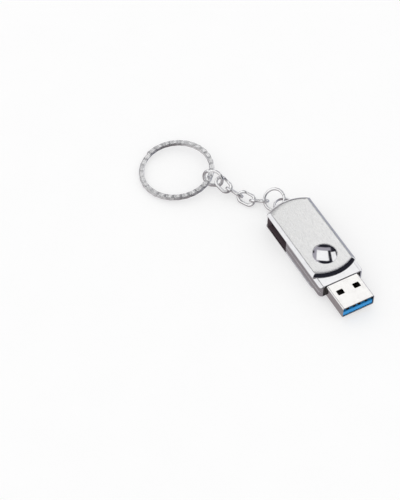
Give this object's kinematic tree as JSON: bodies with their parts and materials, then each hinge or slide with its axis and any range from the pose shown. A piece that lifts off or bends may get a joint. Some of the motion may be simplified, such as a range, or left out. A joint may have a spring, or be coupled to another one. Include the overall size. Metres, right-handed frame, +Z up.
{
  "type": "usb flash drive",
  "caption": "USB flash drive whose polished body swivels out of a bevelled metal cover, with a short chain and split key ring.",
  "frame": {"origin": "on the swivel axis, at the outer face of the bottom inlay plate that the drive lies on", "axes": "+X towards the plug's mouth with the plug swung out, +Y to the left of the plug, +Z up through the top cover plate"},
  "size_m": [0.0945, 0.0456, 0.0074],
  "materials": {
    "polished_chrome": "polished",
    "satin_plate": "satin",
    "plug_steel": "bright stamped",
    "chain_nickel": "nickel plated",
    "black_plastic": "matte",
    "blue_plastic": "satin",
    "contact_gold": "gold plated",
    "board_green": "solder resist",
    "chip_black": "moulded",
    "can_metal": "stamped",
    "ceramic_tan": "ceramic"
  },
  "bodies": {
    "cover": {"cover_frame": "polished_chrome", "top_inlay_plate": "satin_plate", "bottom_inlay_plate": "satin_plate"},
    "drive_body": {"upper_shell": "polished_chrome", "lower_shell": "polished_chrome", "pivot_rivet_upper": "polished_chrome", "pivot_rivet_lower": "polished_chrome", "inner_frame": "black_plastic", "plug_sleeve": "plug_steel", "contact_block": "blue_plastic", "plain_contact_1": "contact_gold", "plain_contact_2": "contact_gold", "plain_contact_3": "contact_gold", "plain_contact_4": "contact_gold", "fast_contact_1": "contact_gold", "fast_contact_2": "contact_gold", "fast_contact_3": "contact_gold", "fast_contact_4": "contact_gold", "fast_contact_5": "contact_gold", "circuit_board": "board_green", "controller_chip": "chip_black", "memory_chip": "chip_black", "crystal_can": "can_metal", "capacitor_1": "ceramic_tan", "capacitor_2": "ceramic_tan", "capacitor_3": "ceramic_tan", "resistor_1": "chip_black", "resistor_2": "chip_black"},
    "jump_ring": {"jump_ring": "chain_nickel"},
    "chain_link_1": {"chain_link_1": "chain_nickel"},
    "chain_link_2": {"chain_link_2": "chain_nickel"},
    "chain_link_3": {"chain_link_3": "chain_nickel"},
    "chain_link_4": {"chain_link_4": "chain_nickel"},
    "end_link": {"end_link": "chain_nickel"},
    "split_ring": {"split_ring": "chain_nickel"}
  },
  "joints": [
    {"name": "cover_swivel", "type": "hinge", "parent": "cover", "child": "drive_body", "pos_m": [0, 0, 0], "axis": [0, 0, 1], "continuous": true},
    {"name": "jump_ring_swing", "type": "hinge", "parent": "cover", "child": "jump_ring", "pos_m": [-0.02915, 0, 0.00366], "axis": [0, 1, 0], "range_deg": [-10, 80]},
    {"name": "chain_link_1_swing", "type": "hinge", "parent": "jump_ring", "child": "chain_link_1", "pos_m": [-0.03273, -0.00405, 0.00233], "axis": [0.7887, -0.3324, -0.5172], "range_deg": [-45, 45]},
    {"name": "chain_link_2_swing", "type": "hinge", "parent": "chain_link_1", "child": "chain_link_2", "pos_m": [-0.03549, -0.00785, 0.00175], "axis": [0.4994, -0.473, 0.7259], "range_deg": [-45, 45]},
    {"name": "chain_link_3_swing", "type": "hinge", "parent": "chain_link_2", "child": "chain_link_3", "pos_m": [-0.03944, -0.01032, 0.00216], "axis": [0.3653, -0.6881, -0.6269], "range_deg": [-45, 45]},
    {"name": "chain_link_4_swing", "type": "hinge", "parent": "chain_link_3", "child": "chain_link_4", "pos_m": [-0.0433, -0.01282, 0.00305], "axis": [0.4671, -0.447, 0.7629], "range_deg": [-45, 45]},
    {"name": "end_link_swing", "type": "hinge", "parent": "chain_link_4", "child": "end_link", "pos_m": [-0.04745, -0.01425, 0.00466], "axis": [0.4101, -0.8568, 0.3125], "range_deg": [-45, 45]},
    {"name": "split_ring_swing", "type": "hinge", "parent": "end_link", "child": "split_ring", "pos_m": [-0.05181, -0.01719, 0.00232], "axis": [0.5081, -0.0698, -0.8585], "range_deg": [-35, 45]}
  ]
}
